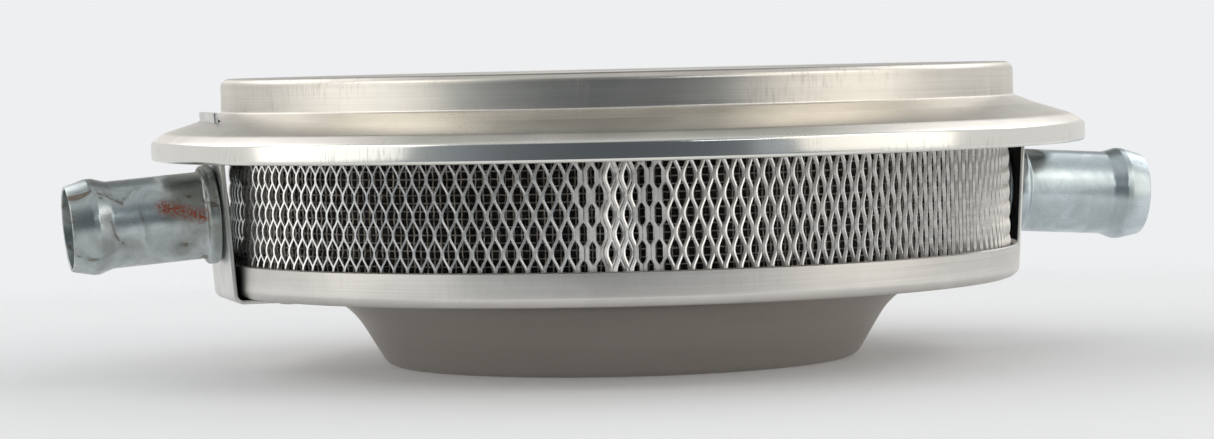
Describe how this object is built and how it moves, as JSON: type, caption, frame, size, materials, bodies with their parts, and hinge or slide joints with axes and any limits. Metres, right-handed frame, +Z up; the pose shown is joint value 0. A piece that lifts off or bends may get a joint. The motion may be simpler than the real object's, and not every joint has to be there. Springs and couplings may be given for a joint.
{
  "type": "air filter housing",
  "caption": "Round open-sided air cleaner: spun lid and base pan clamp an expanded-metal element, with side hose spigots on strap brackets and a captive hold-down screw.",
  "frame": {"origin": "centre of the neck's seat ring, on the plane that the housing rests on", "axes": "+Z up the housing's axis from the neck to the lid; +X towards the right hose spigot's side, -Y towards the front"},
  "size_m": [0.3345, 0.285, 0.0886],
  "materials": {
    "lid_aluminium": "spun and brushed round, satin, lightly scuffed",
    "pan_aluminium": "spun, dull satin, darker on the neck",
    "strap_aluminium": "rolled strip, satin",
    "expanded_aluminium": "slit and stretched, bright edges",
    "wire_cloth": "woven wire, dark",
    "zinc_steel": "zinc plated, stained and spotted with rust",
    "black_rubber": "matt moulded"
  },
  "bodies": {
    "housing": {"top_cover": "lid_aluminium", "base_pan": "pan_aluminium", "neck_seal_ring": "black_rubber", "outer_mesh_band": "expanded_aluminium", "inner_mesh_band": "expanded_aluminium", "wire_cloth_layer_1": "wire_cloth", "wire_cloth_layer_2": "wire_cloth", "wire_cloth_layer_3": "wire_cloth", "lower_element_gasket": "black_rubber", "upper_element_gasket": "black_rubber", "left_bracket": "strap_aluminium", "right_bracket": "strap_aluminium", "left_spigot": "zinc_steel", "right_spigot": "zinc_steel", "left_foot_rivet_1": "zinc_steel", "left_foot_rivet_2": "zinc_steel", "right_foot_rivet_1": "zinc_steel", "right_foot_rivet_2": "zinc_steel", "well_seal_washer": "black_rubber"},
    "captive_washer": {"hold_down_washer": "zinc_steel"},
    "captive_screw": {"hold_down_screw": "zinc_steel", "screw_retaining_clip": "zinc_steel"}
  },
  "joints": [
    {"name": "screw_lift", "type": "slide", "parent": "housing", "child": "captive_washer", "axis": [0, 0, 1], "range_m": [0, 0.005]},
    {"name": "screw_turn", "type": "hinge", "parent": "captive_washer", "child": "captive_screw", "pos_m": [0, 0, 0.0796], "axis": [0, 0, 1], "continuous": true}
  ]
}
